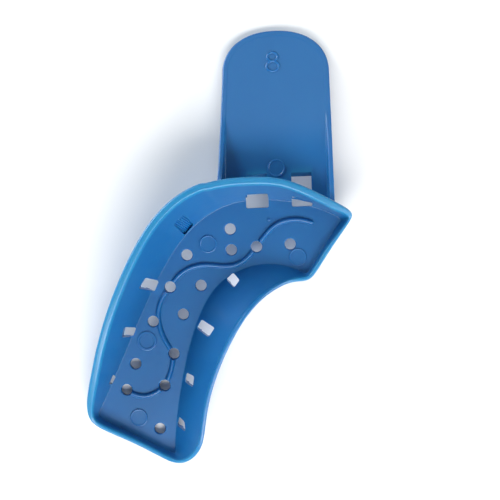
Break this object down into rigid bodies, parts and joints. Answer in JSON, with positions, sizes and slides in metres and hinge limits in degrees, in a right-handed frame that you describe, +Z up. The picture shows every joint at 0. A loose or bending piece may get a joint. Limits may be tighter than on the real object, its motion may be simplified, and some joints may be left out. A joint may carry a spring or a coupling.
{
  "type": "impression tray",
  "caption": "Half-arch dental impression tray: a curved, perforated trough with a flared outer wall, a sloping inner wall, low ends and a flat, gently bent thumb handle.",
  "frame": {"origin": "centre of the tray's bounding box, at the height of the table it rests on", "axes": "+X to the tray's front end wall and handle side, +Y along the handle from the back of the trough to the handle's tip, +Z up out of the open trough; the floor is tipped about 4.8 degrees because the tray rests on the back edge of its floor and on the tip of its handle"},
  "size_m": [0.061, 0.0972, 0.0185],
  "materials": {
    "tray_plastic": "mid blue injection-moulded polystyrene, semi-gloss, slightly translucent at thin edges"
  },
  "bodies": {
    "root": {"floor_plate": "tray_plastic", "outer_wall": "tray_plastic", "inner_wall": "tray_plastic", "front_end_wall": "tray_plastic", "back_end_wall": "tray_plastic", "handle_plate": "tray_plastic", "left_handle_rail": "tray_plastic", "right_handle_rail": "tray_plastic", "retention_rib_1": "tray_plastic", "retention_rib_2": "tray_plastic", "retention_rib_3": "tray_plastic", "retention_rib_4": "tray_plastic", "retention_rib_5": "tray_plastic", "retention_rib_6": "tray_plastic", "size_number": "tray_plastic"}
  },
  "joints": []
}
